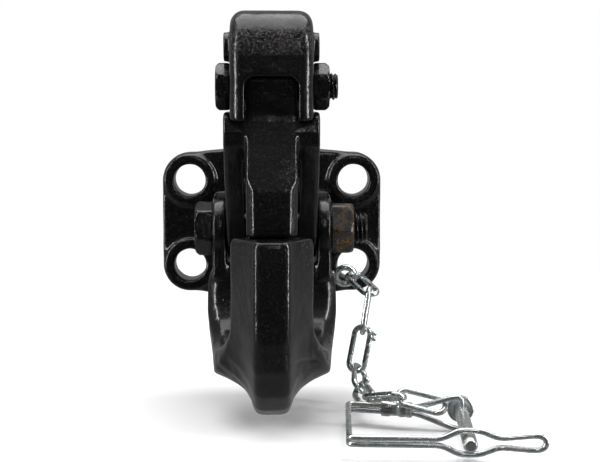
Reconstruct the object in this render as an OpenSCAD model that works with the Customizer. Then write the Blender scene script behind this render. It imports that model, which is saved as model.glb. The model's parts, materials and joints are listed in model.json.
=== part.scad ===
// Rigid-mount pintle hook: a forged hook and mounting plate, a swinging latch, a lock that
// holds the latch shut, and a safety pin that hangs on a short chain.
// Millimetres. The origin is the centre of the bolt pattern on the rear mounting face,
// +Z is up and the hook's mouth points along -Y.

/* [Mounting plate] */
// Spacing of the mounting holes across the plate
hole_spacing_x = 85.725; // [80:0.005:90]
// Spacing of the mounting holes up the plate
hole_spacing_z = 44.45; // [42:0.01:50]
// Diameter of a mounting hole
hole_d = 16.67; // [14:0.01:18]
// Radius of the plate's corners, about the mounting holes
corner_r = 14.3; // [13:0.1:16]
// Thickness of the plate
plate_t = 16.5; // [12:0.5:20]
// Height of the spot-faced boss around each mounting hole
boss_h = 2.5; // [1:0.1:3]
// How far the plate's top and bottom edges bow outwards
plate_crown = 2.5; // [1:0.1:4]

/* [Latch pivot] */
// Distance of the latch pivot in front of the rear face
pivot_out = 48; // [46:0.5:52]
// Diameter of the latch pivot bolt
pivot_bolt_d = 15.875; // [14:0.005:16]
// Width across the flats of the latch pivot bolt's head and nut
pivot_hex_af = 23.81; // [22:0.01:25]
// Radius of the hook's ears about the latch pivot
ear_r = 15; // [14.6:0.1:16]
// Half the width over the ears
ear_outer_x = 29.4; // [28:0.1:30]

/* [Lock pivot] */
// Distance of the lock pivot in front of the rear face
lock_out = 92; // [91:0.5:93]
// Height of the lock pivot
lock_up = 70.5; // [70:0.5:71]
// Diameter of the lock pivot bolt
lock_bolt_d = 12.7; // [11:0.1:12.7]
// Width across the flats of the lock pivot bolt's head and nut
lock_hex_af = 19.05; // [18:0.01:19.05]

/* [Hook] */
// Radius of the throat that carries the drawbar eye
throat_r = 23; // [21:0.5:24]
// Distance of the throat's centre in front of the rear face
throat_out = 83; // [82:0.5:84]
// Depth of the throat's centre below the latch pivot
throat_drop = 27; // [26:0.5:28]
// Height of the horn's tip above the latch pivot's height
tip_up = 2.5; // [1:0.1:2.6]
// Half the width of the ridge that runs down the front of the horn
ridge_x = 8.8; // [7:0.1:10]

/* [Latch] */
// Half the width of the latch over its arms
latch_x = 22.2; // [22:0.05:22.3]
// Half the width of the latch's nose bar
nose_x = 11.6; // [10:0.1:11.7]
// Height of the latch's shoulders
shoulder_up = 58.8; // [56:0.1:58.8]

/* [Lock] */
// Half the width of the lock
lock_x = 19.1; // [18:0.05:19.1]
// Radius of the lock's crown about its pivot
crown_r = 35; // [34:0.1:35]
// Diameter of the hole for the safety pin
pin_hole_d = 7.2; // [6.6:0.1:7.4]
// Height of the safety pin's hole above the lock pivot
pin_hole_up = 18.2; // [17.5:0.1:18.5]

/* [Safety pin and chain] */
// Diameter of the safety pin
pin_d = 6.35; // [5:0.05:6.5]
// Length of the safety pin's shank from its collar
pin_l = 66.7; // [65:0.1:68]
// Diameter of the safety pin's collar
collar_d = 12.7; // [11:0.1:13]
// Thickness of the wire of the pin's bail
bail_wire_d = 2.6; // [2.2:0.1:2.7]
// Thickness of the chain's wire
chain_wire_d = 2.8; // [2.2:0.1:2.8]
// Outside length of a chain link
link_l = 25.4; // [25:0.1:26]
// Outside width of a chain link
link_w = 10.8; // [10.6:0.1:11]

/* [Hidden] */
// Clearance across a fit that moves, on the radius
fit = 0.06;
// Clearance between faces that slide past each other
gap = 0.4;
// Clearance under a bolt's head or nut
seat = 0.05;
// Overlap between pieces of one solid
eps = 0.01;
// Half the length of a hole that is cut right across
through = 40;

plate_x = hole_spacing_x / 2 + corner_r;
plate_z = hole_spacing_z / 2 + corner_r;
plate_top = plate_z + plate_crown;
// The bow of the top and bottom edges ends this far inside the mounting holes' centres
crown_inset = 3;
boss_r = corner_r - 0.8;

pivot_r = pivot_bolt_d / 2;
ear_inner_x = latch_x + gap;
arm_inner_x = 13.2;
arm_r = 14.5;
neck_x = 12;
bridge_up = 42.4;

pivot_head_h = 8.85;
pivot_nut_h = 11.4;
pivot_thread = 7;

lock_bolt_r = lock_bolt_d / 2;
lock_head_h = 6.85;
lock_nut_h = 7.7;
lock_thread = 3.9;
leg_inner_x = 12.3;
leg_r = 15.3;
tail_x = 11.3;
neck_r = 26;
crown_inner_r = neck_r + 0.6;
neck_front = 15.6;
crown_edge_r = 6.5;
lip_up = 4.5;
arch_r = 5;
pin_boss_r = 6.75;
// The roll over the hood's brow, in front of its crown
brow_r = 20;
brow_out = lock_out + 3.5;
brow_up = lock_up + 14.7;
crown_end = crown_r * sin(atan2(brow_out - lock_out, brow_up - lock_up));
// How far the lock lifts
lift = 27;

// The toe of the lock's tail lies on the line between the two pivots
toe_r = 5;
tail_t = 2 * toe_r - 0.1;
toe_reach = 54;
bolt_span = sqrt(pow(lock_out - pivot_out, 2) + pow(lock_up, 2));
toe_out = lock_out - (lock_out - pivot_out) * toe_reach / bolt_span;
toe_up = lock_up - lock_up * toe_reach / bolt_span;
tail_root_out = lock_out - 25.2;
tail_root_up = lock_up - 20;

spring_slot_x = 4.4;
spring_slot_r = 12.6;
spring_wire_d = 1.8;
spring_r = 8.4;
spring_turns = 3.25;

// The chain hangs from an eye in the hook's right cheek. Each link after the first hangs
// in the end of the link before it, and is moved by [slide round that end, bend about the
// wire there, twist about its own length], in degrees.
link_count = 7;
chain_play = 0.1;
eye_wire_r = 1.6;
eye_ring_r = 4.8;
eye_outer_r = eye_ring_r + eye_wire_r;
eye_shank_r = 2;
eye_hold = [42.6, -31.6, -27];
lead_yaw = 62.2;
lead_pitch = -20.3;
lead_roll = 183.3;
link_moves = [
    [33.8, -59.2, 3.3],
    [-5, -2.3, 7.6],
    [33.2, -63.1, 16.7],
    [1.9, -16.9, 11.4],
    [-33.9, -15.4, 19.4],
    [-44.7, -7.2, -18]
];

// The bail's own frame: its origin is where the bail enters the pin, u runs along its arms
// and v along the pin
bail_yaw = 4.2;
bail_gap = 0.1;

// A solid whose side outline is drawn as (distance in front of the rear face, height)
module slab(half_width, at_x = 0) {
    translate([at_x, 0, 0])
        rotate([90, 0, -90])
            linear_extrude(2 * half_width, center = true)
                children();
}

// A round bar across the object, from x0 to x1, at (distance out, height)
module cross_bar(r, x0, x1, out = 0, up = 0) {
    translate([x0, -out, up])
        rotate([0, 90, 0])
            cylinder(r = r, h = x1 - x0, $fn = 64);
}

module disc(r, out, up) {
    translate([out, up])
        circle(r, $fn = 96);
}

// ---------- Hook ----------

module plate_outline() {
    chord = hole_spacing_x / 2 - crown_inset;
    bow_r = (pow(chord, 2) + pow(plate_crown, 2)) / (2 * plate_crown);
    for (sx = [-1, 1], sz = [-1, 1])
        translate([sx * hole_spacing_x / 2, sz * hole_spacing_z / 2])
            circle(corner_r, $fn = 96);
    square([2 * plate_x, hole_spacing_z], center = true);
    square([hole_spacing_x, 2 * plate_z], center = true);
    for (s = [-1, 1])
        intersection() {
            translate([0, s * (plate_top - bow_r)])
                circle(bow_r, $fn = 360);
            translate([-chord - crown_inset / 2, min(0, s * 2 * plate_z)])
                square([2 * chord + crown_inset, 2 * plate_z]);
        }
}

module at_mount_holes() {
    for (sx = [-1, 1], sz = [-1, 1])
        translate([sx * hole_spacing_x / 2, 0, sz * hole_spacing_z / 2])
            rotate([90, 0, 0])
                children();
}

// Stations round the throat, from above the seat at the back, under the hook and up to the
// horn's tip: angle round the throat, lift above it, half width, depth, half width of the
// keel, depth of the flank's edge, and how far the flank is hollowed.
stations = [
    [-180, 10.2, 23, 44, 22, 12, 0],
    [-180, 8.4, 28, 45, 26, 12, 0],
    [-180, 4.5, 31, 46, 28, 12, 0],
    [-180, 0, 32, 46, 28, 12, 0],
    [-166, 0, 32.3, 45, 26, 15, 0],
    [-152, 0, 32.2, 42, 22, 17, 0.5],
    [-136, 0, 31, 39.5, 15, 18, 2.5],
    [-120, 0, 29.6, 37, ridge_x + 1, 17.5, 4.2],
    [-105, 0, 28.8, 36, ridge_x, 16.5, 5],
    [-90, 0, 28.2, 35.6, ridge_x, 15.5, 5],
    [-76, 0, 27.2, 35.8, ridge_x, 13.5, 4.3],
    [-62, 0, 25, 35.6, ridge_x, 11.5, 3],
    [-48, 0, 22.2, 35, ridge_x, 9.5, 1.5],
    [-32, 0, 19.8, 34, ridge_x, 8, 0.6],
    [-16, 0, 19.1, 32.6, ridge_x, 6.5, 0],
    [0, 0, 19, 31, ridge_x, 6, 0],
    [0, (throat_drop + tip_up) / 2, 19, 28, ridge_x, 6, 0],
    [0, throat_drop + tip_up - 2, 19, 25.4, ridge_x, 6, 0],
    [0, throat_drop + tip_up, 18, 24, ridge_x - 0.6, 6, 0]
];
horn_lean = 6;

// Half of a station's outline, as (half width, depth)
function flank(s) =
    let (w = s[2], d = s[3], k = s[4], e = s[5], hollow = s[6])
    [
        [w * 0.55, 0.5],
        [w * 0.86, 2.2],
        [w, 6],
        [w, e + 1],
        for (t = [0.25, 0.5, 0.75])
            [w + (k - w) * t - hollow * sin(180 * t), e + 1 + (d - 5 - e) * t],
        [k, d - 3.5],
        [k - 1.2, d - 0.9],
        [k * 0.5, d]
    ];

function ring(s) = let (f = flank(s), n = len(f)) concat(
    f,
    [for (i = [n - 1:-1:0]) [-f[i][0], f[i][1]]]
);

// Where a station's point lies: the lift carries it straight up from the throat's side
function place(s, p) =
    let (
        c = cos(s[0]),
        lean = s[0] == 0 ? horn_lean * s[1] / (throat_drop + tip_up) : 0,
        reach = throat_r + p[1]
    )
    [p[0], -(throat_out + reach * c + lean), -throat_drop + reach * sin(s[0]) + s[1]];

module throat_body() {
    n = len(ring(stations[0]));
    m = len(stations);
    polyhedron(
        points = [for (s = stations, p = ring(s)) place(s, p)],
        faces = concat(
            [[for (i = [n - 1:-1:0]) i]],
            [for (j = [0:m - 2], i = [0:n - 1])
                let (k = (i + 1) % n)
                [j * n + i, j * n + k, (j + 1) * n + k, (j + 1) * n + i]],
            [[for (i = [0:n - 1]) (m - 1) * n + i]]
        )
    );
}

// The two ears that carry the latch pivot bolt
module ears() {
    for (s = [-1, 1])
        slab((ear_outer_x - ear_inner_x) / 2, s * (ear_outer_x + ear_inner_x) / 2) {
            disc(ear_r, pivot_out, 0);
            translate([plate_t - 1, -24])
                square([pivot_out - plate_t + 1, 24 + ear_r]);
            translate([plate_t - 1, -24])
                square([pivot_out - plate_t + ear_r - 2, 24]);
        }
}

// The lug between the latch's arms, which stops the lock's toe while the lock is down
module stop_lug() {
    slab(tail_x, 0)
        polygon([
            [plate_t - 1, -24],
            [pivot_out + 13, -24],
            [pivot_out + 14, -4],
            [pivot_out + 9.6, 12],
            [pivot_out + 9.6, 28],
            [pivot_out + 6, 31.5],
            [pivot_out - 4, 31.5],
            [pivot_out - 16, 24],
            [plate_t + 4, 20],
            [plate_t - 1, 26]
        ]);
}

module hook_body() {
    color([0.08, 0.08, 0.09])
        difference() {
            union() {
                rotate([90, 0, 0])
                    linear_extrude(plate_t)
                        plate_outline();
                at_mount_holes()
                    cylinder(r = boss_r, h = plate_t + boss_h, $fn = 96);
                throat_body();
                ears();
                stop_lug();
                slab(ear_outer_x - 1, 0)
                    polygon([
                        [plate_t - 1, -36],
                        [pivot_out + 4, -36],
                        [pivot_out + 4, -arm_r - 2.2],
                        [plate_t + 9, -arm_r - 2.2],
                        [plate_t - 1, -4]
                    ]);
            }
            at_mount_holes()
                translate([0, 0, -1])
                    cylinder(d = hole_d, h = plate_t + boss_h + 2, $fn = 96);
            cross_bar(pivot_r + fit, -through, through, pivot_out, 0);
            for (s = [-1, 1])
                slab((ear_inner_x - tail_x) / 2, s * (ear_inner_x + tail_x) / 2)
                    disc(arm_r + 1.2, pivot_out, 0);
            // Spot face and hole for the chain's eye
            at_eye()
                rotate([0, -90, 0]) {
                    cylinder(r = eye_outer_r + 1.5, h = eye_outer_r + gap, $fn = 48);
                    cylinder(r = eye_shank_r + fit, h = 22, $fn = 48);
                }
        }
}

// ---------- Latch ----------

// The outline shared by both arms, from the pivot up to the head
module arm_outline() {
    disc(arm_r, pivot_out, 0);
    difference() {
        polygon([
            [pivot_out - 13.6, 5],
            [pivot_out + 9.5, -11],
            [lock_out + 16, 43],
            [lock_out + 18, 50],
            [lock_out + 15.5, 56.5],
            [lock_out + 11.5, shoulder_up],
            [lock_out - 14, shoulder_up],
            [lock_out - 21, 54]
        ]);
        children();
    }
}

module nose_outline() {
    polygon([
        [lock_out - 4.5, bridge_up],
        [lock_out + 4, bridge_up],
        [lock_out + 13, 26],
        [lock_out + 19, 12],
        [lock_out + 22, tip_up + 0.35],
        [lock_out + 30.5, tip_up + 0.35],
        [lock_out + 31.8, tip_up + 2],
        [lock_out + 31.5, 24.4],
        [lock_out + 20, 45],
        [lock_out + 15.8, 55.5],
        [lock_out + 15.8, 56],
        [lock_out - 4.5, 56]
    ]);
}

// The nose bar seen from above, with its front corners bevelled
module nose_plan() {
    front = lock_out + 32;
    bevel = 4;
    linear_extrude(2 * shoulder_up)
        polygon([
            [-nose_x, -lock_out + 6],
            [nose_x, -lock_out + 6],
            [nose_x, -front + bevel],
            [nose_x - bevel, -front],
            [bevel - nose_x, -front],
            [-nose_x, -front + bevel]
        ]);
}

// The bridge that joins the arms, the neck and the nose
module bridge_outline() {
    polygon([
        [lock_out - 4.5, bridge_up],
        [lock_out + 15.6, bridge_up],
        [lock_out + 18, 50],
        [lock_out + 15.5, 56.5],
        [lock_out - 4.5, 56.5]
    ]);
}

module neck_outline() {
    difference() {
        union() {
            disc(neck_r, lock_out, lock_up);
            translate([lock_out - 4.5, bridge_up])
                square([neck_front + 4.5, 28]);
        }
        translate([lock_out + neck_front, 0])
            square([60, 120]);
        // Room for the lock's front wall as it lifts
        translate([lock_out, lock_up])
            rotate(lift + 0.5)
                translate([neck_front, -20])
                    square([60, 80]);
    }
}

module latch() {
    color([0.08, 0.08, 0.09])
        difference() {
            union() {
                for (s = [-1, 1]) {
                    slab((latch_x - arm_inner_x) / 2, s * (latch_x + arm_inner_x) / 2)
                        arm_outline();
                    slab((arm_inner_x - neck_x) / 2 + eps, s * (arm_inner_x + neck_x) / 2)
                        intersection() {
                            arm_outline();
                            translate([0, bridge_up])
                                square([2 * lock_out, lock_up]);
                        }
                }
                slab(neck_x, 0)
                    neck_outline();
                intersection() {
                    slab(nose_x, 0)
                        nose_outline();
                    nose_plan();
                }
                slab(neck_x, 0)
                    bridge_outline();
            }
            // Pockets for the lock's legs
            for (s = [-1, 1])
                slab((lock_x + 0.2 - neck_x) / 2, s * (lock_x + 0.2 + neck_x) / 2) {
                    disc(leg_r + 0.5, lock_out, lock_up);
                    translate([lock_out, lock_up - leg_r - 0.5])
                        square([crown_r, leg_r]);
                }
            cross_bar(pivot_r + fit, -through, through, pivot_out, 0);
            cross_bar(lock_bolt_r + fit, -through, through, lock_out, lock_up);
            cross_bar(pin_hole_d / 2, -through, through, lock_out, lock_up + pin_hole_up);
            // Slot for the lock's spring
            slab(spring_slot_x, 0)
                disc(spring_slot_r, lock_out, lock_up);
        }
}

// ---------- Lock ----------

// The hood's cross-section from a roll's centre outwards, with rounded outer corners
module hood_section(r) {
    flat_r = r - crown_edge_r;
    flat_x = lock_x - crown_edge_r;
    translate([0, -lock_x])
        square([flat_r, 2 * lock_x]);
    translate([0, -flat_x])
        square([r, 2 * flat_x]);
    for (s = [-1, 1])
        translate([flat_r, s * flat_x])
            circle(crown_edge_r, $fn = 48);
}

module roll(r, out, up) {
    translate([0, -out, up])
        rotate([0, 90, 0])
            rotate_extrude($fn = 128)
                hood_section(r);
}

// The hood's front wall and the fronts of its legs, seen from above
module wall_plan() {
    front = brow_out + brow_r;
    flat_x = lock_x - crown_edge_r;
    translate([-lock_x, crown_edge_r - front])
        square([2 * lock_x, front - crown_edge_r - lock_out]);
    translate([-flat_x, -front])
        square([2 * flat_x, front - lock_out]);
    for (s = [-1, 1])
        translate([s * flat_x, crown_edge_r - front])
            circle(crown_edge_r, $fn = 48);
}

// The hood: a wide crown about the lock pivot, a tighter roll over the brow, and a front
// wall that runs down into the legs
module hood() {
    intersection() {
        roll(crown_r, lock_out, lock_up);
        slab(lock_x + 1, 0)
            translate([lock_out - crown_r, lock_up + lip_up])
                square([crown_r + crown_end, crown_r]);
    }
    intersection() {
        roll(brow_r, brow_out, brow_up);
        slab(lock_x + 1, 0)
            translate([lock_out, brow_up])
                square([brow_r + crown_r, brow_r]);
    }
    translate([0, 0, lock_up - leg_r])
        linear_extrude(brow_up - lock_up + leg_r)
            wall_plan();
}

// The finger arch under the hood's front, seen from the front
module arch_outline() {
    height = leg_r + 1 + lip_up;
    flat_x = leg_inner_x - arch_r;
    translate([-leg_inner_x, 0])
        square([2 * leg_inner_x, height - arch_r]);
    translate([-flat_x, 0])
        square([2 * flat_x, height]);
    for (s = [-1, 1])
        translate([s * flat_x, height - arch_r])
            circle(arch_r, $fn = 48);
}

module lock_legs_outline() {
    disc(leg_r, lock_out, lock_up);
    translate([lock_out - leg_r, lock_up])
        square([2 * leg_r, crown_r / 2]);
}

// The tail that runs down behind the latch's neck and ends in the toe
module lock_tail_outline() {
    run = [toe_out - tail_root_out, toe_up - tail_root_up];
    difference() {
        union() {
            intersection() {
                disc(crown_r - 1.5, lock_out, lock_up);
                translate([lock_out - crown_r, lock_up - 21])
                    square([crown_r - 14, 40]);
            }
            disc(toe_r, tail_root_out, tail_root_up);
            translate([tail_root_out, tail_root_up])
                rotate(atan2(run[1], run[0]))
                    translate([0, -tail_t / 2])
                        square([norm(run), tail_t]);
            disc(toe_r, toe_out, toe_up);
        }
        disc(crown_inner_r, lock_out, lock_up);
    }
}

module lock_lever() {
    color([0.08, 0.08, 0.09])
        difference() {
            union() {
                hood();
                slab(lock_x, 0)
                    lock_legs_outline();
                slab(tail_x, 0)
                    lock_tail_outline();
                cross_bar(pin_boss_r, -latch_x, latch_x, lock_out, lock_up + pin_hole_up);
            }
            // The hollow that fits over the latch's neck
            slab(leg_inner_x, 0)
                intersection() {
                    disc(crown_inner_r, lock_out, lock_up);
                    translate([lock_out - crown_r, 0])
                        square([crown_r + neck_front + 0.4, 200]);
                }
            translate([0, -lock_out, lock_up - leg_r - 1])
                rotate([90, 0, 0])
                    linear_extrude(crown_r)
                        arch_outline();
            cross_bar(lock_bolt_r + fit, -through, through, lock_out, lock_up);
            cross_bar(pin_hole_d / 2, -through, through, lock_out, lock_up + pin_hole_up);
        }
}

// ---------- Fasteners ----------

// A hexagonal head or nut with its outer corners turned off
module hex_body(af, h) {
    intersection() {
        cylinder(r = af / sqrt(3), h = h, $fn = 6);
        cylinder(r1 = af / 2 + h * 1.7, r2 = af / 2 - 0.3, h = h + eps, $fn = 64);
    }
}

// A bolt across the object: its head bears on the face at -seat_x
module hex_bolt(r, af, seat_x, head_h, end_x, out, up, turn) {
    cross_bar(r, -seat_x - eps, end_x, out, up);
    translate([-seat_x, -out, up])
        rotate([0, -90, 0])
            rotate(turn)
                hex_body(af, head_h);
}

module hex_nut(r, af, seat_x, h, out, up, turn) {
    difference() {
        translate([seat_x, -out, up])
            rotate([0, 90, 0])
                rotate(turn)
                    hex_body(af, h);
        cross_bar(r + fit, 0, through + seat_x, out, up);
    }
}

module latch_pivot_bolt() {
    seat_x = ear_outer_x + seat;
    end_x = seat_x + pivot_nut_h + pivot_thread;
    color([0.1, 0.1, 0.11])
        hex_bolt(pivot_r, pivot_hex_af, seat_x, pivot_head_h, end_x, pivot_out, 0, 12);
}

module latch_pivot_nut() {
    color([0.34, 0.27, 0.18])
        hex_nut(pivot_r, pivot_hex_af, ear_outer_x + seat, pivot_nut_h, pivot_out, 0, 30);
}

module lock_pivot_bolt() {
    seat_x = lock_x + seat;
    end_x = seat_x + lock_nut_h + lock_thread;
    color([0.1, 0.1, 0.11])
        hex_bolt(lock_bolt_r, lock_hex_af, seat_x, lock_head_h, end_x, lock_out, lock_up, 0);
}

module lock_pivot_nut() {
    color([0.1, 0.1, 0.11])
        hex_nut(lock_bolt_r, lock_hex_af, lock_x + seat, lock_nut_h, lock_out, lock_up, 0);
}

// ---------- Wire parts ----------

function unit(v) = v / norm(v);

// The wire's local sideways direction at each point, carried along without twist
function carry(dirs, side, i = 0) =
    i >= len(dirs) ? [] :
    let (s = unit(side - (side * dirs[i]) * dirs[i]))
    concat([s], carry(dirs, s, i + 1));

// A round wire through a list of points
module wire(points, r, side = [0, 0, 1], around = 10) {
    n = len(points);
    dirs = [for (i = [0:n - 1]) unit(points[min(i + 1, n - 1)] - points[max(i - 1, 0)])];
    sides = carry(dirs, side);
    polyhedron(
        points = [for (i = [0:n - 1], a = [0:around - 1])
            let (t = a * 360 / around)
            points[i] + r * (cos(t) * sides[i] + sin(t) * cross(dirs[i], sides[i]))],
        faces = concat(
            [[for (a = [0:around - 1]) a]],
            [for (i = [0:n - 2], a = [0:around - 1])
                let (b = (a + 1) % around)
                [i * around + a, (i + 1) * around + a, (i + 1) * around + b, i * around + b]],
            [[for (a = [around - 1:-1:0]) (n - 1) * around + a]]
        )
    );
}

// The torsion spring that presses the lock down over the neck
module lock_spring() {
    steps = 26 * spring_turns;
    pitch = (2 * spring_slot_x - spring_wire_d - 0.8) / spring_turns;
    x0 = -spring_slot_x + spring_wire_d / 2 + 0.4;
    coil = [for (i = [0:steps])
        let (a = i * 360 * spring_turns / steps)
        [x0 + pitch * spring_turns * i / steps, -spring_r * cos(a), spring_r * sin(a)]];
    color([0.45, 0.45, 0.47])
        translate([0, -lock_out, lock_up])
            wire(coil, spring_wire_d / 2, [1, 0, 0], 8);
}

// ---------- Chain ----------

lead = [
    cos(lead_pitch) * cos(lead_yaw),
    -cos(lead_pitch) * sin(lead_yaw),
    sin(lead_pitch)
];
lead_up = unit([0, 0, 1] - lead[2] * lead);
lead_normal = turned(lead_up, lead, lead_roll);
link_run = link_l - chain_wire_d;
link_bend_r = (link_w - chain_wire_d) / 2;

// A vector turned about an axis, by an angle in degrees
function turned(v, axis, angle) =
    v * cos(angle) + cross(axis, v) * sin(angle) + axis * (axis * v) * (1 - cos(angle));

// The frames of all the links, each [start of its centreline, direction along it, normal of
// its plane, point it hangs from, axis it swings about]
function chain_frames(start, along, normal, hold, axis, i = 0) = concat(
    [[start, along, normal, hold, axis]],
    i >= link_count - 1 ? [] :
    let (
        slide = link_moves[i][0],
        side = cross(normal, along),
        outward = cos(slide) * along + sin(slide) * side,
        tangent = cos(slide) * side - sin(slide) * along,
        next_hold = start + (link_run - link_bend_r) * along + link_bend_r * outward,
        next = turned(outward, tangent, link_moves[i][1])
    )
    chain_frames(
        next_hold - (chain_wire_d + chain_play) * next,
        next,
        turned(tangent, next, link_moves[i][2]),
        next_hold,
        tangent,
        i + 1
    )
);

frames = chain_frames(
    eye_hold - (eye_wire_r + chain_wire_d / 2 + chain_play) * lead,
    lead,
    lead_normal,
    eye_hold,
    lead_normal
);

// Puts its children in a frame: x along the link, z along its normal
module in_frame(origin, along, normal) {
    side = cross(normal, along);
    multmatrix([
        [along[0], side[0], normal[0], origin[0]],
        [along[1], side[1], normal[1], origin[1]],
        [along[2], side[2], normal[2], origin[2]],
        [0, 0, 0, 1]
    ])
        children();
}

// A closed oval of round wire, lying along x from the origin
module oval_link(run, bend_r, wire_r) {
    for (end = [0, 1])
        translate([end == 0 ? bend_r : run - bend_r, 0, 0])
            rotate(end == 0 ? 90 : -90)
                rotate_extrude(angle = 180, $fn = 48)
                    translate([bend_r, 0])
                        circle(wire_r, $fn = 32);
    for (s = [-1, 1])
        translate([bend_r, s * bend_r, 0])
            rotate([0, 90, 0])
                cylinder(r = wire_r, h = run - 2 * bend_r, $fn = 32);
}

module chain_link(i) {
    color([0.7, 0.71, 0.72])
        in_frame(frames[i][0], frames[i][1], frames[i][2])
            oval_link(link_run, link_bend_r, chain_wire_d / 2);
}

// The eye's own frame, centred on its ring with x straight out of the cheek
eye_out = unit([1, 0, 0] - lead_normal[0] * lead_normal);

module at_eye() {
    in_frame(eye_hold - eye_ring_r * eye_out, eye_out, cross(eye_out, lead_normal))
        children();
}

// The eye that holds the chain, pressed into the hook's cheek
module chain_anchor() {
    color([0.7, 0.71, 0.72])
        at_eye() {
            rotate_extrude($fn = 64)
                translate([eye_ring_r, 0])
                    circle(eye_wire_r, $fn = 32);
            rotate([0, -90, 0])
                translate([0, 0, eye_ring_r])
                    cylinder(r = eye_shank_r, h = 14, $fn = 48);
        }
}

// ---------- Safety pin ----------

pin_r = pin_d / 2;
bail_wire_r = bail_wire_d / 2;
strand_up = bail_wire_r + bail_gap;
collar_t = 2.6;
collar_back = 8;
arm_slope = 0.22;
head_spread = 7.4;
split_u = -21;
ferrule_u = -30.1;
ferrule_l = 14.6;
bail_left_u = -53;
eye_v = 53;
handle_u = 32;

// Where the bail's upper strand passes through the last link: along the strand, and along
// the link from its start
hang_u = -14.44;
hang_along = 15.56;
hang_up = strand_up + (hang_u - split_u) * (head_spread - strand_up) / (-3.5 - split_u);
bail_u = [cos(bail_yaw), -sin(bail_yaw), 0];
bail_v = [-sin(bail_yaw), -cos(bail_yaw), 0];
bail_up = [0, 0, 1];
last = frames[link_count - 1];
hang = last[0] + hang_along * last[1];
bail_origin = hang - hang_u * (bail_u + arm_slope * bail_v) - hang_up * bail_up;

module at_bail() {
    multmatrix([
        [bail_u[0], bail_v[0], -bail_up[0], bail_origin[0]],
        [bail_u[1], bail_v[1], -bail_up[1], bail_origin[1]],
        [bail_u[2], bail_v[2], -bail_up[2], bail_origin[2]],
        [0, 0, 0, 1]
    ])
        children();
}

// Half of the bail, from its end in the pin to the middle of its handle
function strand(s) = [
    [0, 0, s * 0.6],
    [0, 0, s * head_spread],
    [-3.5, -3.5 * arm_slope, s * head_spread],
    [split_u, split_u * arm_slope, s * strand_up],
    [bail_left_u, bail_left_u * arm_slope, s * strand_up],
    [bail_left_u + 1.5, eye_v, s * strand_up],
    [-12, eye_v, s * strand_up],
    [-4.5, eye_v, s * (pin_r + bail_wire_r + 0.7)],
    [4.5, eye_v, s * (pin_r + bail_wire_r + 0.7)],
    [12.5, eye_v, s * (strand_up + 0.5)],
    [handle_u - 3, eye_v - 0.6, s * 3.3],
    [handle_u, eye_v - 0.6, s * 2],
    [handle_u + 0.6, eye_v - 0.6, 0]
];

function reversed(list) = [for (i = [len(list) - 1:-1:0]) list[i]];

// A path with its corners rounded off
function rounded(points, r, steps = 4) = [
    for (i = [0:len(points) - 1])
        if (i == 0 || i == len(points) - 1)
            points[i]
        else
            let (
                p = points[i],
                before = p + min(r, norm(points[i - 1] - p) / 2.1) * unit(points[i - 1] - p),
                after = p + min(r, norm(points[i + 1] - p) / 2.1) * unit(points[i + 1] - p)
            )
            for (k = [0:steps])
                let (t = k / steps)
                (1 - t) * (1 - t) * before + 2 * t * (1 - t) * p + t * t * after
];

module bail_wire() {
    half = strand(1);
    path = concat(
        [for (i = [0:len(half) - 2]) half[i]],
        reversed(strand(-1))
    );
    color([0.72, 0.73, 0.74])
        at_bail()
            wire(rounded(path, 2.6), bail_wire_r, [0, 1, 0], 10);
}

// The crimped sleeve that holds the bail's two strands together
module bail_ferrule() {
    inner_r = bail_wire_r + 0.06;
    color([0.72, 0.7, 0.62])
        at_bail()
            translate([ferrule_u, ferrule_u * arm_slope, 0])
                rotate(atan(arm_slope))
                    rotate([0, 90, 0])
                        difference() {
                            union() {
                                sleeve(inner_r + 0.5, -ferrule_l / 2, ferrule_l / 2);
                                sleeve(inner_r + 0.85, -ferrule_l / 2, -ferrule_l * 0.2);
                                sleeve(inner_r + 0.85, ferrule_l * 0.12, ferrule_l / 2);
                            }
                            sleeve(inner_r, -ferrule_l, ferrule_l);
                        }
}

// A length of sleeve round the two strands, from z0 to z1
module sleeve(r, z0, z1) {
    translate([0, 0, z0])
        linear_extrude(z1 - z0)
            sleeve_section(r);
}

module sleeve_section(r) {
    for (s = [-1, 1])
        translate([s * strand_up, 0])
            circle(r, $fn = 48);
    square([2 * strand_up, 2 * r], center = true);
}

module along_pin(v) {
    at_bail()
        translate([0, v, 0])
            rotate([-90, 0, 0])
                children();
}

module safety_pin() {
    color([0.72, 0.73, 0.74])
        difference() {
            union() {
                along_pin(-collar_back - collar_t - 1.4)
                    cylinder(r = pin_r, h = pin_l + collar_t + 1.4 - 1.2, $fn = 64);
                along_pin(pin_l - collar_back - 1.2)
                    cylinder(r1 = pin_r, r2 = pin_r - 0.8, h = 1.2, $fn = 64);
            }
            at_bail()
                cylinder(r = bail_wire_r + fit, h = 20, center = true, $fn = 48);
        }
}

module pin_collar() {
    color([0.74, 0.7, 0.6])
        along_pin(-collar_back - collar_t)
            difference() {
                cylinder(d = collar_d, h = collar_t, $fn = 64);
                translate([0, 0, -1])
                    cylinder(r = pin_r + 0.04, h = collar_t + 2, $fn = 64);
            }
}

hook_body();
latch();
lock_lever();
latch_pivot_bolt();
latch_pivot_nut();
lock_pivot_bolt();
lock_pivot_nut();
lock_spring();
chain_anchor();
chain_link(0);  // chain_link_1
chain_link(1);  // chain_link_2
chain_link(2);  // chain_link_3
chain_link(3);  // chain_link_4
chain_link(4);  // chain_link_5
chain_link(5);  // chain_link_6
chain_link(6);  // chain_link_7
bail_wire();
bail_ferrule();
safety_pin();
pin_collar();
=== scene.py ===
import json
import math

import bmesh
import bpy
import numpy as np
from mathutils import Matrix, Vector, noise


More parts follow.
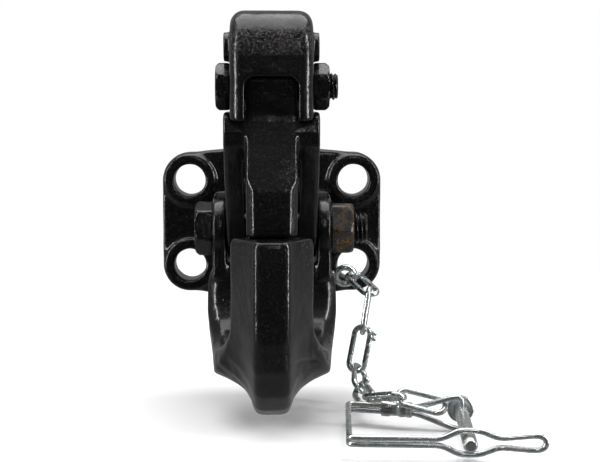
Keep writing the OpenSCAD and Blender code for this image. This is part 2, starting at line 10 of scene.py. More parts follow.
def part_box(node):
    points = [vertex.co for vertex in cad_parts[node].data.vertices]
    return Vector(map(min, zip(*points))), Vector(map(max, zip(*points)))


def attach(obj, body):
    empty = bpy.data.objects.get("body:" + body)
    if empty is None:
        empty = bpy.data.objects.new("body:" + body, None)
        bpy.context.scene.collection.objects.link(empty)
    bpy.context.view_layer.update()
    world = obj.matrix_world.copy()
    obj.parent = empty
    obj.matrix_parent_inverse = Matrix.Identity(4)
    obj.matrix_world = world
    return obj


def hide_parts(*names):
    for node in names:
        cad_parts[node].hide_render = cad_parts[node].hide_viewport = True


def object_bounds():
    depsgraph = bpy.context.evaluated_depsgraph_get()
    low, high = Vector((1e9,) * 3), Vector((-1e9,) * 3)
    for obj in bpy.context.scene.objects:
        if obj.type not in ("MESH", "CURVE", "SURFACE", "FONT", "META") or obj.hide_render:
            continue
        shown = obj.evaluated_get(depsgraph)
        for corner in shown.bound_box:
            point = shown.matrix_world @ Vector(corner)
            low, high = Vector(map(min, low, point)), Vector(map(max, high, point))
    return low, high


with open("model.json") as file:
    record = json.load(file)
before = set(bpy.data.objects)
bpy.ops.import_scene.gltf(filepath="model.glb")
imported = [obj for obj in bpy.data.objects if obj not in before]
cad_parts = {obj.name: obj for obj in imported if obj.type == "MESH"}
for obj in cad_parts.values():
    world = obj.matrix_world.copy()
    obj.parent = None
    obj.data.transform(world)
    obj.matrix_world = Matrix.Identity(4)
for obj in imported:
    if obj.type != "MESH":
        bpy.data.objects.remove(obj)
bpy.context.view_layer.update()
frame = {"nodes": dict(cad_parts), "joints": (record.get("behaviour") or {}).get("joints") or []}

MM = 0.001
NODES = frame["nodes"]
JOINTS = {joint["name"]: joint for joint in frame["joints"]}


# ---------- Small tools ----------

def joint_at(name):
    """Where a joint is, in metres, and its axis."""
    joint = JOINTS[name]
    return Vector(joint["pos_m"]), Vector(joint["axis"]).normalized()


def main_axes(node):
    """The middle of a CAD node, its longest direction and its thinnest, from its surface."""
    mesh = NODES[node].data
    spots = np.array([face.center for face in mesh.polygons])
    areas = np.array([face.area for face in mesh.polygons])
    middle = np.average(spots, axis=0, weights=areas)
    spread = (spots - middle).T @ ((spots - middle) * areas[:, None])
    _, axes = np.linalg.eigh(spread)
    return Vector(middle), Vector(axes[:, 2]), Vector(axes[:, 0])


def new_piece(name, mesh, material, body, node):
    """Puts a finished mesh in the scene in place of a CAD node."""
    piece = bpy.data.objects.new(name, mesh)
    bpy.context.scene.collection.objects.link(piece)
    mesh.materials.clear()
    mesh.materials.append(material)
    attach(piece, body)
    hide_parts(node)
    return piece


def smooth_shaded(mesh, angle=None):
    """Smooth shading, with edges sharper than the angle kept crisp."""
    mesh.polygons.foreach_set("use_smooth", [True] * len(mesh.polygons))
    if angle is not None:
        mesh.set_sharp_from_angle(angle=math.radians(angle))
    return mesh


def with_modifiers(mesh, *settings):
    """A copy of the mesh with modifiers applied, each given as (type, {property: value})."""
    holder = bpy.data.objects.new("holder", mesh)
    bpy.context.scene.collection.objects.link(holder)
    for kind, values in settings:
        modifier = holder.modifiers.new(kind, kind)
        for key, value in values.items():
            setattr(modifier, key, value)
    graph = bpy.context.evaluated_depsgraph_get()
    result = bpy.data.meshes.new_from_object(holder.evaluated_get(graph), depsgraph=graph)
    bpy.data.objects.remove(holder)
    return result


def skin(rings, closed_ends=True):
    """A mesh over a list of rings, each a list of points with the same count."""
    count = len(rings[0])
    points = [point for ring in rings for point in ring]
    faces = []
    for row in range(len(rings) - 1):
        for step in range(count):
            after = (step + 1) % count
            a, b = row * count + step, row * count + after
            faces.append((a, b, b + count, a + count))
    if closed_ends:
        faces.append(tuple(range(count))[::-1])
        faces.append(tuple((len(rings) - 1) * count + step for step in range(count)))
    mesh = bpy.data.meshes.new("skin")
    mesh.from_pydata(points, [], faces)
    tidy = bmesh.new()
    tidy.from_mesh(mesh)
    bmesh.ops.recalc_face_normals(tidy, faces=tidy.faces)
    tidy.to_mesh(mesh)
    tidy.free()
    return mesh


def welded(mesh):
    """The same mesh with points in the same place made one."""
    shape = bmesh.new()
    shape.from_mesh(mesh)
    bmesh.ops.remove_doubles(shape, verts=shape.verts, dist=1e-7)
    shape.to_mesh(mesh)
    shape.free()
    return mesh


def joined(meshes):
    """One mesh made of several."""
    whole = bmesh.new()
    for mesh in meshes:
        whole.from_mesh(mesh)
    result = bpy.data.meshes.new("joined")
    whole.to_mesh(result)
    whole.free()
    return result


def axes_from(origin, along, up):
    """A matrix whose x runs along one direction and whose z is as near as can be to up."""
    x = along.normalized()
    z = (up - up.dot(x) * x).normalized()
    y = z.cross(x)
    turn = Matrix((x, y, z)).transposed().to_4x4()
    return Matrix.Translation(origin) @ turn


def turned_part(profile, place, steps=64, hollow=False):
    """A turned part from (distance along x, radius) pairs. A radius may be a function of angle.

    A hollow part's profile runs all the way round its wall.
    """
    rings = []
    for along, radius in profile:
        ring = []
        for step in range(steps):
            angle = 2 * math.pi * step / steps
            r = radius(angle) if callable(radius) else radius
            ring.append(place @ Vector((along, r * math.cos(angle), r * math.sin(angle))))
        rings.append(ring)
    if hollow:
        return welded(skin(rings + rings[:1], closed_ends=False))
    return skin(rings)


def wire_tube(path, radius, closed=False, around=16):
    """A round wire along a path of points, with rounded ends when it is open."""
    count = len(path)
    rings = []
    side = None
    for index in range(count):
        if closed:
            ahead = path[(index + 1) % count] - path[index - 1]
        else:
            ahead = path[min(index + 1, count - 1)] - path[max(index - 1, 0)]
        ahead.normalize()
        if side is None:
            side = ahead.orthogonal().normalized()
        side = (side - side.dot(ahead) * ahead).normalized()
        rings.append((path[index], ahead, side, radius))
    if not closed:
        first, last = rings[0], rings[-1]
        domes = (0.92, 0.7, 0.3)
        start = [(first[0] - first[1] * radius * 0.7 * dome, first[1], first[2],
                  radius * (1 - 0.75 * dome)) for dome in domes]
        end = [(last[0] + last[1] * radius * 0.7 * dome, last[1], last[2],
                radius * (1 - 0.75 * dome)) for dome in reversed(domes)]
        rings = start + rings + end
    shaped = []
    for centre, ahead, side, r in rings:
        other = ahead.cross(side)
        ring = []
        for step in range(around):
            angle = 2 * math.pi * step / around
            ring.append(centre + r * (math.cos(angle) * side + math.sin(angle) * other))
        shaped.append(ring)
    if not closed:
        return skin(shaped)
    # The last ring meets the first with its turn matched, so that the seam doesn't twist
    first = shaped[0]
    shift = min(range(around), key=lambda s: (shaped[-1][s] - first[0]).length)
    shaped.append([first[(step - shift) % around] for step in range(around)])
    return welded(skin(shaped, closed_ends=False))


def rounded_path(points, reach, steps=6):
    """A path through points with each corner rounded off."""
    path = [points[0]]
    for before, here, after in zip(points, points[1:], points[2:]):
        a = here + (before - here).normalized() * min(reach, (before - here).length / 2.1)
        b = here + (after - here).normalized() * min(reach, (after - here).length / 2.1)
        for step in range(steps + 1):
            t = step / steps
            path.append((1 - t) ** 2 * a + 2 * t * (1 - t) * here + t * t * b)
    path.append(points[-1])
    return path


# ---------- Materials ----------

def plug(tree, socket, value):
    """Gives a node's input a value, or a link from another node's output."""
    if isinstance(value, bpy.types.NodeSocket):
        tree.links.new(value, socket)
    else:
        socket.default_value = value


def add_node(tree, kind, inputs, **settings):
    """Adds a node to a tree, with its inputs as {name or index: value or output}."""
    made = tree.nodes.new(kind)
    for key, value in settings.items():
        setattr(made, key, value)
    for key, value in inputs.items():
        plug(tree, made.inputs[key], value)
    return made


class Shader:
    """A short way to write a material. Textures lie in the object's own metres."""

    def __init__(self, name):
        self.material = bpy.data.materials.new(name)
        self.material.use_nodes = True
        self.tree = self.material.node_tree
        self.surface = self.tree.nodes["Principled BSDF"]
        self.place = self.node("ShaderNodeTexCoord").outputs["Object"]

    def node(self, kind, inputs=None, **settings):
        return add_node(self.tree, kind, inputs or {}, **settings)

    def put(self, socket, value):
        plug(self.tree, socket, value)

    def set(self, **values):
        for key, value in values.items():
            self.put(self.surface.inputs[key.replace("_", " ")], value)

    def noise(self, scale, detail=3.0, roughness=0.5):
        made = self.node("ShaderNodeTexNoise", {
            "Vector": self.place, "Scale": scale, "Detail": detail, "Roughness": roughness,
        })
        return made.outputs["Fac"]

    def cells(self, scale):
        made = self.node("ShaderNodeTexVoronoi", {"Vector": self.place, "Scale": scale})
        return made.outputs["Distance"]

    def ramp(self, value, low, high, out_low=0.0, out_high=1.0):
        made = self.node("ShaderNodeMapRange", {
            "Value": value, "From Min": low, "From Max": high,
            "To Min": out_low, "To Max": out_high,
        }, interpolation_type="SMOOTHSTEP")
        return made.outputs["Result"]

    def math(self, operation, a, b):
        made = self.node("ShaderNodeMath", {0: a, 1: b}, operation=operation)
        return made.outputs[0]

    def mix(self, amount, a, b):
        made = self.node("ShaderNodeMix", data_type="RGBA")
        self.put(made.inputs[0], amount)
        self.put(made.inputs[6], a)
        self.put(made.inputs[7], b)
        return made.outputs[2]

    def bump(self, height, depth, strength=1.0, under=None):
        made = self.node("ShaderNodeBump", {
            "Height": height, "Distance": depth, "Strength": strength,
        })
        if under is not None:
            self.put(made.inputs["Normal"], under)
        return made.outputs["Normal"]


def hood_patch(shader):
    """1 in specks over the rough band across the front of the lock's hood, and 0 elsewhere."""
    pivot, _ = joint_at("lock_lift")
    place = shader.node("ShaderNodeSeparateXYZ", {"Vector": shader.place})
    up, back = place.outputs["Z"], place.outputs["Y"]
    low = shader.ramp(up, pivot.z + 12.5 * MM, pivot.z + 16.5 * MM)
    high = shader.ramp(up, pivot.z + 29.5 * MM, pivot.z + 24.5 * MM)
    front = shader.ramp(back, pivot.y - 12 * MM, pivot.y - 17 * MM)
    band = shader.math("MULTIPLY", shader.math("MULTIPLY", low, high), front)
    specks = shader.ramp(shader.noise(900, detail=5, roughness=0.7), 0.52, 0.64)
    return shader.math("MULTIPLY", band, specks)


def enamel(name, stain=0.12, patched=False):
    """Gloss black enamel over a forged skin: broad waves, orange peel, pits and dull stains."""
    shader = Shader(name)
    waves = shader.noise(75, detail=2, roughness=0.4)
    peel = shader.noise(620, detail=3, roughness=0.55)
    grain = shader.noise(1300, detail=4, roughness=0.65)
    craters = shader.ramp(shader.cells(900), 0.0, 0.4)
    pitted = shader.ramp(shader.noise(48, detail=3), 0.46, 0.6)
    stains = shader.ramp(shader.noise(30, detail=5, roughness=0.65), 0.58, 0.74, 0.0, stain)
    dust = shader.ramp(grain, 0.52, 0.66, 0.0, 0.8)
    colour = shader.mix(waves, (0.0018, 0.0018, 0.0022, 1), (0.0038, 0.0036, 0.0038, 1))
    colour = shader.mix(dust, colour, (0.016, 0.0145, 0.0135, 1))
    colour = shader.mix(stains, colour, (0.02, 0.011, 0.007, 1))
    dullness = shader.ramp(peel, 0.3, 0.7, 0.15, 0.25)
    height = peel
    if patched:
        spots = hood_patch(shader)
        colour = shader.mix(shader.math("MULTIPLY", spots, 0.5), colour, (0.035, 0.018, 0.011, 1))
        dullness = shader.math("ADD", dullness, shader.math("MULTIPLY", spots, 0.15))
        height = shader.math("ADD", peel, spots)
    normal = shader.bump(waves, 0.5 * MM, 0.35)
    normal = shader.bump(height, 0.2 * MM, 0.9, normal)
    normal = shader.bump(shader.math("MULTIPLY", craters, pitted), 0.2 * MM, 0.8, normal)
    normal = shader.bump(grain, 0.05 * MM, 0.7, normal)
    shader.set(Base_Color=colour, Roughness=dullness, Normal=normal)
    shader.set(Coat_Weight=0.3, Coat_Roughness=0.09, Specular_IOR_Level=0.24)
    shader.set(Coat_Normal=shader.bump(height, 0.1 * MM, 0.6))
    return shader.material


def zinc(name, warm=0.25, rough=0.16):
    """Bright zinc plate with faint blue and yellow tints, drawing streaks and darker spots."""
    shader = Shader(name)
    cloud = shader.noise(120, detail=3)
    streaks = shader.noise(260, detail=2, roughness=0.5)
    spots = shader.ramp(shader.noise(450, detail=4), 0.58, 0.68)
    cool = shader.mix(cloud, (0.54, 0.60, 0.62, 1), (0.72, 0.74, 0.74, 1))
    tint = shader.mix(shader.ramp(cloud, 0.45, 0.7, 0.0, warm), cool, (0.66, 0.57, 0.38, 1))
    colour = shader.mix(shader.math("MULTIPLY", spots, 0.15), tint, (0.26, 0.27, 0.28, 1))
    roughness = shader.ramp(streaks, 0.3, 0.7, rough, rough + 0.14)
    normal = shader.bump(streaks, 0.01 * MM, 0.3)
    shader.set(Base_Color=colour, Metallic=0.92, Roughness=roughness, Normal=normal)
    return shader.material


def stained_nut(name):
    """Yellow-plated nut with patchy black overspray."""
    shader = Shader(name)
    spray = shader.ramp(shader.noise(150, detail=5, roughness=0.62), 0.36, 0.54)
    grime = shader.ramp(shader.noise(420, detail=4), 0.4, 0.7)
    plate = shader.mix(grime, (0.16, 0.10, 0.055, 1), (0.05, 0.036, 0.026, 1))
    colour = shader.mix(spray, plate, (0.016, 0.014, 0.014, 1))
    metal = shader.ramp(spray, 0.2, 0.8, 0.85, 0.0)
    roughness = shader.ramp(grime, 0.2, 0.8, 0.26, 0.42)
    normal = shader.bump(spray, 0.1 * MM, 0.5)
    normal = shader.bump(shader.noise(1300, detail=3), 0.05 * MM, 0.5, normal)
    shader.set(Base_Color=colour, Metallic=metal, Roughness=roughness, Normal=normal)
    return shader.material


def spring_steel(name):
    """Oiled spring wire."""
    shader = Shader(name)
    drawn = shader.noise(900, detail=3)
    colour = shader.mix(drawn, (0.16, 0.16, 0.17, 1), (0.34, 0.34, 0.35, 1))
    shader.set(Base_Color=colour, Metallic=1.0, Roughness=shader.ramp(drawn, 0.3, 0.7, 0.25, 0.4))
    shader.set(Normal=shader.bump(drawn, 0.05 * MM, 0.5))
    return shader.material


BLACK = enamel("black_enamel")
BLACK_HOOD = enamel("black_enamel_hood", patched=True)
BLACK_PART = enamel("black_enamel_fastener", stain=0.2)
ZINC = zinc("zinc_plate")
ZINC_WARM = zinc("yellow_zinc", warm=0.7, rough=0.24)
NUT = stained_nut("worn_plated_nut")
SPRING = spring_steel("spring_steel")


# ---------- Forgings ----------

LUMPS_PER_METRE = 90
RIPPLES_PER_METRE = 240
RIPPLE_SHARE = 0.45


def forged(node, body, material, voxel, rounds, waviness, seed):
    """A forging: the CAD shape with its edges rounded over and its skin slightly uneven.

    The shape is remeshed in voxels and smoothed a number of rounds, and then its skin is moved
    in or out by up to about the waviness, in lumps with ripples on them.
    """
    solid = NODES[node].data.copy()
    solid = with_modifiers(solid, ("REMESH", {
        "mode": "VOXEL", "voxel_size": voxel, "use_smooth_shade": True,
    }))
    solid = with_modifiers(solid, ("SMOOTH", {"factor": 0.5, "iterations": rounds}))
    count = len(solid.vertices)
    places = np.empty(count * 3, dtype=np.float32)
    normals = np.empty(count * 3, dtype=np.float32)
    solid.vertices.foreach_get("co", places)
    solid.vertex_normals.foreach_get("vector", normals)
    places = places.reshape(-1, 3)
    normals = normals.reshape(-1, 3)
    shift = Vector((seed, seed * 1.7, -seed))
    swell = np.array([
        noise.noise(Vector(place) * LUMPS_PER_METRE + shift)
        + RIPPLE_SHARE * noise.noise(Vector(place) * RIPPLES_PER_METRE + shift)
        for place in places.tolist()
    ], dtype=np.float32)
    places += normals * (swell * waviness)[:, None]
    solid.vertices.foreach_set("co", places.reshape(-1))
    smooth_shaded(solid)
    return new_piece(f"{node}_forging", solid, material, body, node)


def build_forgings():
    forged("hook_body", "hook", BLACK, voxel=1.0 * MM, rounds=14, waviness=0.16 * MM, seed=3.0)
    forged("latch", "latch", BLACK, voxel=0.7 * MM, rounds=12, waviness=0.12 * MM, seed=7.0)
    forged("lock_lever", "lock", BLACK_HOOD, voxel=0.6 * MM, rounds=12, waviness=0.12 * MM,
           seed=11.0)


# ---------- Fasteners ----------

def hexagon(across_flats, turn):
    """The radius of a hexagon at an angle."""
    sector = math.pi / 3

    def radius(angle):
        return across_flats / 2 / math.cos((angle - turn) % sector - sector / 2)

    return radius


def clipped(shape, limit):
    """A shape's radius, no larger than a limit."""
    return lambda angle: min(shape(angle), limit)


def thread(x0, x1, outer, pitch, per_turn=10):
    """Rings of a vee thread, fading in at x0 and chamfered at x1."""
    depth = 0.6 * pitch
    fade_length = 0.6 * pitch
    chamfer_length = 0.7 * pitch
    crest = 0.12
    rings = []
    total = max(2, int((x1 - x0) / pitch * per_turn))
    for index in range(total + 1):
        x = x0 + (x1 - x0) * index / total
        fade = min(1.0, (x - x0) / fade_length)
        chamfer = max(0.0, 1.0 - (x1 - x) / chamfer_length) * depth

        def radius(angle, x=x, fade=fade, chamfer=chamfer):
            phase = (x / pitch - angle / (2 * math.pi)) % 1.0
            groove = depth * max(0.0, 1.0 - abs(phase - 0.5) * 2 - crest) * fade
            return min(outer - groove, outer - chamfer)

        rings.append((x, radius))
    return rings


def hex_profile(x_face, x_outer, across_flats, turn):
    """A hexagon with its outer corners turned off, from its bearing face outwards."""
    shape = hexagon(across_flats, turn)
    grow = x_outer - x_face
    half = across_flats / 2
    return [
        (x_face, half * 0.94),
        (x_face + grow * 0.05, half * 0.955),
        (x_face + grow * 0.06, clipped(shape, half * 1.1)),
        (x_face + grow * 0.14, shape),
        (x_face + grow * 0.76, clipped(shape, half * 1.155)),
        (x_face + grow * 0.84, clipped(shape, half * 1.11)),
        (x_face + grow * 0.92, clipped(shape, half * 1.06)),
        (x_face + grow * 0.98, clipped(shape, half * 1.0)),
        (x_outer, half * 0.96),
    ]


def bolt(node, nut_node, joint, body, radius, across_flats, pitch, head_turn, nut_turn,
         nut_material):
    """A hex bolt on a joint's axis, with its nut, both as long as the CAD pieces' own boxes."""
    low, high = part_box(node)
    nut_low, nut_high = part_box(nut_node)
    seat = nut_low.x
    pivot, _ = joint_at(joint)
    place = Matrix.Translation(Vector((0, pivot.y, pivot.z)))
    profile = list(reversed(hex_profile(-seat, low.x, across_flats, math.radians(head_turn))))
    profile += [(-seat, radius), (nut_high.x - 3 * MM, radius)]
    profile += thread(nut_high.x - 2 * MM, high.x, radius, pitch)
    profile += [(high.x, radius * 0.55)]
    mesh = smooth_shaded(turned_part(profile, place, steps=96), 32)
    new_piece(f"{node}_turned", mesh, BLACK_PART, body, node)

    nut_profile = hex_profile(nut_low.x, nut_high.x, across_flats, math.radians(nut_turn))
    bore = [(nut_high.x, radius * 1.06), (nut_high.x - 0.8 * MM, radius * 1.01),
            (nut_low.x, radius * 1.01)]
    nut_mesh = smooth_shaded(turned_part(nut_profile + bore, place, steps=96, hollow=True), 32)
    new_piece(f"{nut_node}_turned", nut_mesh, nut_material, body, nut_node)


def build_fasteners():
    bolt("latch_pivot_bolt", "latch_pivot_nut", "latch_swing", "hook",
         radius=7.9 * MM, across_flats=23.7 * MM, pitch=2.3 * MM, head_turn=18, nut_turn=0,
         nut_material=NUT)
    bolt("lock_pivot_bolt", "lock_pivot_nut", "lock_lift", "latch",
         radius=6.3 * MM, across_flats=19.0 * MM, pitch=1.95 * MM, head_turn=30, nut_turn=30,
         nut_material=BLACK_PART)


# ---------- Chain ----------

LINK_COUNT = 7
KNOTTED_LINKS = (3, 5)
WIRE_R = 1.4 * MM
LINK_RUN = 22.6 * MM
LINK_BEND = 4.0 * MM
EYE_RING_R = 4.8 * MM
EYE_WIRE_R = 1.6 * MM
EYE_SHANK_R = 2.0 * MM


def link_place(index):
    """The place of a link: x along it from its start, z out of its plane."""
    hold, _ = joint_at(f"link_{index}_swing")
    middle, along, normal = main_axes(f"chain_link_{index}")
    if (middle - hold).dot(along) < 0:
        along = -along
    return axes_from(middle - along * LINK_RUN / 2, along, normal)


def link_mesh(place, knotted):
    """A wire link. A knotted one shows the two cut ends of its wire near its start."""
    path = []
    steps = 20
    for end, centre in ((1, LINK_RUN - LINK_BEND), (-1, LINK_BEND)):
        for step in range(steps + 1):
            angle = -math.pi / 2 + math.pi * step / steps
            x = centre + end * LINK_BEND * math.cos(angle)
            y = end * LINK_BEND * math.sin(angle)
            path.append(place @ Vector((x, y, 0)))
    parts = [wire_tube(path, WIRE_R, closed=True, around=20)]
    # The cut ends stand out on the link's right-hand side
    knot_side = 1 if place.col[1].x > 0 else -1
    corner = Vector((LINK_BEND * 0.9, knot_side * LINK_BEND, 0))
    leans = (-1, 1) if knotted else ()
    for lean in leans:
        root = corner + Vector((lean * 1.0 * MM, 0, 0))
        tip = root + Vector((lean * 0.5 * MM, knot_side * 2.7 * MM, lean * 0.4 * MM))
        middle = (root + tip) / 2
        parts.append(wire_tube([place @ point for point in (root, middle, tip)],
                               WIRE_R * 0.86, around=20))
    return smooth_shaded(joined(parts), 60)


def build_chain():
    for index in range(1, LINK_COUNT + 1):
        mesh = link_mesh(link_place(index), index in KNOTTED_LINKS)
        new_piece(f"chain_link_{index}_wire", mesh, ZINC, f"link_{index}",
                  f"chain_link_{index}")


def build_anchor():
    """The eye that holds the first link: a wire ring on a short shank."""
    hold, across = joint_at("link_1_swing")
    outward = Vector((1, 0, 0))
    outward = (outward - outward.dot(across) * across).normalized()
    centre = hold - EYE_RING_R * outward
    place = axes_from(centre, outward, across)
    ring = []
    steps = 40
    for step in range(steps):
        angle = 2 * math.pi * step / steps
        ring.append(place @ (EYE_RING_R * Vector((math.cos(angle), 0, math.sin(angle)))))
    shank = turned_part([
        (EYE_RING_R + 0.2 * MM, 0.5 * EYE_SHANK_R), (EYE_RING_R + 0.6 * MM, 0.92 * EYE_SHANK_R),
        (EYE_RING_R + 3 * MM, EYE_SHANK_R), (EYE_RING_R + 13 * MM, EYE_SHANK_R),
    ], axes_from(centre, -outward, across), steps=24)
    mesh = joined([wire_tube(ring, EYE_WIRE_R, closed=True), shank])
    new_piece("chain_anchor_eye", smooth_shaded(mesh, 50), ZINC, "hook", "chain_anchor")


# ---------- Safety pin ----------

BAIL_R = 1.3 * MM
PIN_R = 3.175 * MM
STRAND = 1.4 * MM
ARM_SLOPE = 0.22
EYE_V = 53 * MM
SPLIT_U = -21 * MM
FERRULE_U = -30.1 * MM
FERRULE_LENGTH = 14.6 * MM
LEFT_U = -53 * MM
HANDLE_U = 32 * MM
SPREAD = 7.4 * MM
COLLAR_BACK = 8 * MM
PIN_LENGTH = 66.7 * MM
PIN_BEHIND_COLLAR = 4 * MM
COLLAR_R = 6.35 * MM
COLLAR_THICK = 2.6 * MM


def bail_place():
    """The bail's own frame: u along its arms as x, the pin as y, and z out of its plane."""
    origin, up = joint_at("pin_play")
    _, v, _ = main_axes("safety_pin")
    if v.y > 0:
        v = -v
    u = v.cross(up)
    if u.x < 0:
        u = -u
    turn = Matrix((u, v, up)).transposed().to_4x4()
    return Matrix.Translation(origin) @ turn


def strand(side):
    """Half of the bail, from its end in the pin to the middle of its handle."""
    eye = PIN_R + BAIL_R + 0.7 * MM
    handle_v = EYE_V - 0.6 * MM
    return [Vector(point) for point in (
        # From the hole in the pin, along the arm and through the ferrule
        (0, 0, side * 0.6 * MM),
        (0, 0, side * SPREAD),
        (-3.5 * MM, -3.5 * MM * ARM_SLOPE, side * SPREAD),
        (SPLIT_U, SPLIT_U * ARM_SLOPE, side * STRAND),
        (LEFT_U, LEFT_U * ARM_SLOPE, side * STRAND),
        # Along the front and round the pin's tip
        (LEFT_U + 1.5 * MM, EYE_V, side * STRAND),
        (-12 * MM, EYE_V, side * STRAND),
        (-4.5 * MM, EYE_V, side * eye),
        (4.5 * MM, EYE_V, side * eye),
        # The handle
        (12.5 * MM, EYE_V, side * (STRAND + 0.5 * MM)),
        (HANDLE_U - 3 * MM, handle_v, side * 3.3 * MM),
        (HANDLE_U, handle_v, side * 2 * MM),
        (HANDLE_U + 0.6 * MM, handle_v, 0),
    )]


def stadium(radius):
    """The outline of a sleeve round two strands, as a radius at each angle."""

    def reach(angle):
        up = abs(math.cos(angle))
        across = abs(math.sin(angle))
        straight = radius / across if across > 1e-6 else 1.0
        if straight * up <= STRAND:
            return straight
        return STRAND * up + math.sqrt(max(0.0, radius ** 2 - (STRAND * across) ** 2))

    return reach


def build_bail():
    place = bail_place()
    near = strand(1)
    corners = near[:-1] + list(reversed(strand(-1)))
    path = [place @ point for point in rounded_path(corners, 3.0 * MM)]
    wire = smooth_shaded(wire_tube(path, BAIL_R, around=16), 60)
    new_piece("bail_wire_bent", wire, ZINC, "bail", "bail_wire")

    half = FERRULE_LENGTH / 2
    inner = BAIL_R + 0.1 * MM
    bands = [
        (-1.0, 0.45), (-0.96, 0.8), (-0.5, 0.85), (-0.42, 0.6), (-0.36, 0.42), (-0.1, 0.38),
        (0.1, 0.42), (0.16, 0.62), (0.24, 0.85), (0.55, 0.7), (0.62, 0.55), (0.7, 0.8),
        (0.96, 0.8), (1.0, 0.45),
    ]
    centre = Vector((FERRULE_U, FERRULE_U * ARM_SLOPE, 0))
    lean = Matrix.Rotation(math.atan(ARM_SLOPE), 4, "Z")
    # The sleeve's outline is long across the plane of the bail, so its angle starts at z
    upright = Matrix.Rotation(math.radians(90), 4, "X")
    sleeve_place = place @ Matrix.Translation(centre) @ lean @ upright
    profile = [(half * at, stadium(inner + rise * MM)) for at, rise in bands]
    sleeve = smooth_shaded(turned_part(profile, sleeve_place, steps=48), 40)
    new_piece("bail_ferrule_crimped", sleeve, ZINC, "bail", "bail_ferrule")


def build_pin():
    place = bail_place() @ Matrix.Rotation(math.radians(90), 4, "Z")
    back = -COLLAR_BACK - PIN_BEHIND_COLLAR
    tip = PIN_LENGTH - COLLAR_BACK
    pin_profile = [
        (back, PIN_R * 0.5), (back + 0.3 * MM, PIN_R * 0.9), (back + 0.8 * MM, PIN_R),
        (-3 * MM, PIN_R), (3 * MM, PIN_R), (tip * 0.5, PIN_R * 0.995),
        (tip - 1.3 * MM, PIN_R), (tip - 1.1 * MM, PIN_R * 0.97), (tip - 0.2 * MM, PIN_R * 0.76),
        (tip, PIN_R * 0.7),
    ]
    pin = smooth_shaded(turned_part(pin_profile, place, steps=48), 35)
    new_piece("safety_pin_turned", pin, ZINC, "pin", "safety_pin")
    face = -COLLAR_BACK
    collar_profile = [
        (face - COLLAR_THICK, PIN_R * 1.02), (face - COLLAR_THICK, COLLAR_R * 0.9),
        (face - COLLAR_THICK * 0.85, COLLAR_R), (face - COLLAR_THICK * 0.15, COLLAR_R),
        (face, COLLAR_R * 0.92), (face, PIN_R * 1.5),
        (face - 0.4 * MM, PIN_R * 1.25), (face - 0.5 * MM, PIN_R * 1.02),
    ]
    collar = smooth_shaded(turned_part(collar_profile, place, steps=64), 35)
    new_piece("pin_collar_turned", collar, ZINC_WARM, "pin", "pin_collar")


# ---------- Stage ----------

# Places are in metres, and the lens and the sensor in millimetres
CAMERA_OUT = 0.729
CAMERA_UP = 0.068
CAMERA_PITCH = math.radians(-5.83)
CAMERA_YAW = math.radians(-1.19)
LENS = 81.66
SENSOR = 36.0
FLOOR_R = 0.7
# The room's brightness in front of the object, and behind it and at its sides
ROOM_FRONT = 0.02
ROOM_SIDES = 0.26


def build_camera():
    """A long lens in front of the object, a little above its middle and looking down at it."""
    data = bpy.data.cameras.new("camera")
    data.sensor_width = SENSOR
    data.lens = LENS
    data.clip_start = 0.01
    camera = bpy.data.objects.new("camera", data)
    camera.location = (0, -CAMERA_OUT, CAMERA_UP)
    camera.rotation_euler = (math.radians(90) + CAMERA_PITCH, 0, CAMERA_YAW)
    bpy.context.scene.collection.objects.link(camera)
    bpy.context.scene.camera = camera


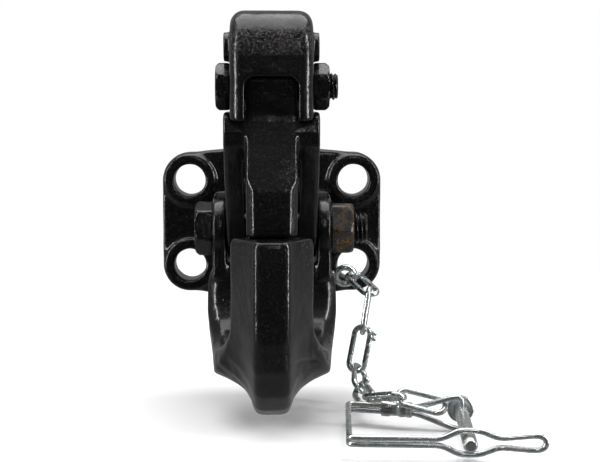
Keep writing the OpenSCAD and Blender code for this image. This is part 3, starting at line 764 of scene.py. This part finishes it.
def build_floor():
    """A pale round floor that fades into the white room at its rim."""
    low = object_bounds()[0][2] - 0.2 * MM
    mesh = bpy.data.meshes.new("floor")
    sides = 96
    ring = [(FLOOR_R * math.cos(2 * math.pi * step / sides),
             FLOOR_R * math.sin(2 * math.pi * step / sides), low) for step in range(sides)]
    mesh.from_pydata(ring, [], [tuple(range(sides))])
    shader = Shader("pale_floor")
    grain = shader.noise(300, detail=2)
    shader.set(Base_Color=(0.9, 0.9, 0.9, 1), Roughness=shader.ramp(grain, 0.3, 0.7, 0.7, 0.8))
    reach = shader.node("ShaderNodeVectorMath", {0: shader.place}, operation="LENGTH")
    fade = shader.ramp(reach.outputs["Value"], 0.45 * FLOOR_R, 0.95 * FLOOR_R)
    clear = shader.node("ShaderNodeBsdfTransparent")
    blend = shader.node("ShaderNodeMixShader", {0: fade})
    shader.put(blend.inputs[1], shader.surface.outputs["BSDF"])
    shader.put(blend.inputs[2], clear.outputs["BSDF"])
    shader.put(shader.tree.nodes["Material Output"].inputs["Surface"], blend.outputs["Shader"])
    mesh.materials.append(shader.material)
    floor = bpy.data.objects.new("floor", mesh)
    bpy.context.scene.collection.objects.link(floor)
    floor.visible_glossy = False


def softbox(name, place, aim, size, power):
    data = bpy.data.lights.new(name, "AREA")
    data.shape = "RECTANGLE"
    data.size, data.size_y = size
    data.energy = power
    lamp = bpy.data.objects.new(name, data)
    lamp.location = place
    towards = Vector(aim) - Vector(place)
    lamp.rotation_euler = towards.to_track_quat("-Z", "Y").to_euler()
    bpy.context.scene.collection.objects.link(lamp)


def build_room():
    """The room: white to the camera, and to everything else brighter behind and at the sides."""
    world = bpy.data.worlds.new("studio")
    world.use_nodes = True
    tree = world.node_tree
    towards = tree.nodes.new("ShaderNodeTexCoord").outputs["Generated"]
    turned = add_node(tree, "ShaderNodeSeparateXYZ", {"Vector": towards})
    front = add_node(tree, "ShaderNodeMapRange", {
        "Value": turned.outputs["Y"], "From Min": -0.95, "From Max": -0.35,
        "To Min": ROOM_FRONT, "To Max": ROOM_SIDES,
    }, interpolation_type="SMOOTHSTEP")
    seen = add_node(tree, "ShaderNodeLightPath", {})
    glow = add_node(tree, "ShaderNodeMix", {
        0: seen.outputs["Is Camera Ray"], 2: front.outputs["Result"], 3: 1.0,
    })
    background = tree.nodes["Background"]
    background.inputs["Color"].default_value = (1, 1, 1, 1)
    tree.links.new(glow.outputs[0], background.inputs["Strength"])
    bpy.context.scene.world = world


def build_light():
    """Soft boxes at both sides and above, and a narrow one in front."""
    middle = (0, -0.08, 0.0)
    softbox("left_box", (-1.0, -0.45, 0.3), middle, (0.1, 1.2), 12)
    softbox("right_box", (1.0, -0.4, 0.3), middle, (0.1, 1.2), 12)
    softbox("top_box", (0, 0.1, 1.1), middle, (1.6, 1.2), 20)
    softbox("strip_box", (0.14, -1.4, 0.6), middle, (0.05, 0.7), 1.0)
    bpy.context.scene.view_settings.view_transform = "Standard"


# ---------- Build ----------

build_forgings()
build_fasteners()
build_chain()
build_anchor()
build_bail()
build_pin()
NODES["lock_spring"].data.materials.clear()
NODES["lock_spring"].data.materials.append(SPRING)
build_camera()
build_floor()
build_room()
build_light()
